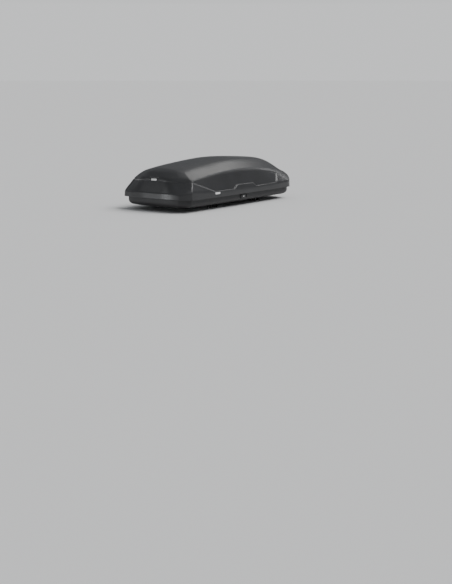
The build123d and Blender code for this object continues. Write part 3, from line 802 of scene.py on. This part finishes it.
def ribbed_rubber(name):
    """Overmoulded rubber: fine cross ribs, chalky patches."""
    s = Surface(name)
    patches = s.blend(s.spread(s.noise(45.0, 6.0), 0, 1), (0.014, 0.014, 0.014), (0.034, 0.033, 0.032))
    s.link(patches, s.shader.inputs["Base Color"])
    s.link(s.spread(s.noise(80.0, 5.0), 0.62, 0.80), s.shader.inputs["Roughness"])
    ribs = s.tree.nodes.new("ShaderNodeTexWave")
    ribs.bands_direction = "Y"
    ribs.inputs["Scale"].default_value = 120.0
    s.link(s.coords, ribs.inputs["Vector"])
    fine = s.bump(s.noise(700.0, 2.0), 0.0002, 0.5)
    s.link(s.bump(ribs.outputs["Fac"], 0.0006, 0.5, fine), s.shader.inputs["Normal"])
    return s


# Name, darker and lighter colour, roughness, scale and depth of the grain
PLASTICS = (
    ("lid_plastic", (0.024, 0.0245, 0.026), (0.031, 0.0315, 0.034), 0.32, 900.0, 0.00025),
    ("tray_plastic", (0.015, 0.015, 0.016), (0.023, 0.023, 0.025), 0.50, 600.0, 0.0004),
    ("bush_nylon", (0.58, 0.57, 0.52), (0.66, 0.65, 0.60), 0.42, 1200.0, 0.0001),
    ("lock_plastic", (0.014, 0.014, 0.015), (0.021, 0.021, 0.022), 0.42, 1100.0, 0.0003),
    ("slider_plastic", (0.026, 0.026, 0.029), (0.038, 0.038, 0.041), 0.30, 1400.0, 0.0001),
    ("clamp_plastic", (0.030, 0.030, 0.031), (0.052, 0.052, 0.054), 0.46, 800.0, 0.0002),
    ("knob_plastic", (0.055, 0.055, 0.058), (0.075, 0.075, 0.078), 0.52, 700.0, 0.0003),
)
# Name, darker and lighter colour, roughness, stretch of the streaks and their depth
METALS = (
    ("rail_aluminium", (0.55, 0.56, 0.57), (0.68, 0.69, 0.70), 0.34, (0.02, 1.0, 1.0), 0.0002),
    ("rod_steel", (0.46, 0.46, 0.45), (0.62, 0.62, 0.60), 0.30, (0.1, 1.0, 1.0), 0.0001),
    ("key_chrome", (0.74, 0.74, 0.74), (0.84, 0.84, 0.84), 0.16, (1.0, 0.05, 1.0), 0.00005),
)
FINISHES = {values[0]: grained_plastic(*values) for values in PLASTICS}
FINISHES |= {values[0]: metal(*values) for values in METALS}
FINISHES["pressed_steel"] = coated_steel("pressed_steel")
FINISHES["badge_plate"] = plate_paint("badge_plate")
FINISHES["jaw_rubber"] = ribbed_rubber("jaw_rubber")
for part in frame["record"]["subparts"]:
    node = frame["nodes"][part["node"]]
    node.data.materials.clear()
    node.data.materials.append(FINISHES[part["material_slot"]].material)


def stand_for(piece, body, node):
    """Puts a made piece in a CAD node's place."""
    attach(piece, body)
    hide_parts(node)


stand_for(make_lid(FINISHES["lid_plastic"].material), "lid", "lid_shell")
stand_for(make_tray(FINISHES["tray_plastic"].material), "base", "base_tray")
plate = FINISHES["badge_plate"].material
for side_name, side in (("left", 1), ("right", -1)):
    badge = make_badge(f"{side_name}_plate", side_place(side), *SIDE_BADGE[2:], POCKET_DEPTH, plate)
    stand_for(badge, "lid", f"{side_name}_badge")
rear_plate = make_badge("rear_plate", rear_place, *REAR_BADGE[2:], REAR_BADGE_BASE, plate)
stand_for(rear_plate, "lid", "rear_badge")

# ---- Floor and light ----
FLOOR_REACH = 400.0
floor_paint = bpy.data.materials.new("floor paint")
floor_paint.use_nodes = True
floor_shader = floor_paint.node_tree.nodes["Principled BSDF"]
floor_shader.inputs["Base Color"].default_value = (0.80, 0.80, 0.80, 1)
floor_shader.inputs["Roughness"].default_value = 0.95
floor_shader.inputs["Specular IOR Level"].default_value = 0.0
floor_corners = [(FLOOR_REACH * u, FLOOR_REACH * v, 0) for u, v in ((-1, -1), (1, -1), (1, 1), (-1, 1))]
floor = add_mesh("floor", floor_corners, [(0, 1, 2, 3)], floor_paint)

# Studio walls: pale just above the floor's edge, dim above, so that the flat roof stays dark
world = bpy.data.worlds.new("studio")
world.use_nodes = True
sky = world.node_tree
direction = sky.nodes.new("ShaderNodeTexCoord")
split = sky.nodes.new("ShaderNodeSeparateXYZ")
ramp = sky.nodes.new("ShaderNodeValToRGB")
sky.links.new(direction.outputs["Generated"], split.inputs["Vector"])
sky.links.new(split.outputs["Z"], ramp.inputs["Fac"])
sky.links.new(ramp.outputs["Color"], sky.nodes["Background"].inputs["Color"])
ramp.color_ramp.elements[0].position = 0.06
ramp.color_ramp.elements[0].color = (0.80, 0.81, 0.82, 1)
ramp.color_ramp.elements[1].position = 0.10
ramp.color_ramp.elements[1].color = (0.13, 0.134, 0.14, 1)
high = ramp.color_ramp.elements.new(0.55)
high.color = (0.30, 0.31, 0.32, 1)
bpy.context.scene.world = world


def sun(name, towards, angle, strength, colour):
    """Distant light from the given direction, as wide as the angle in degrees."""
    data = bpy.data.lights.new(name, "SUN")
    data.angle = math.radians(angle)
    data.energy = strength
    data.color = colour
    light = bpy.data.objects.new(name, data)
    light.rotation_euler = Vector(towards).to_track_quat("Z", "Y").to_euler()
    bpy.context.scene.collection.objects.link(light)


sun("overhead", (0.35, -0.45, 0.82), 40, 2.3, (1.0, 1.0, 1.0))
sun("front left", (0.738, 0.157, 0.656), 14, 0.17, (1.0, 0.99, 0.97))
sun("rear left low", (-0.87, 0.47, 0.022), 8, 0.60, (0.96, 0.98, 1.0))
sun("front", (0.911, -0.064, 0.407), 10, 0.08, (1.0, 1.0, 1.0))
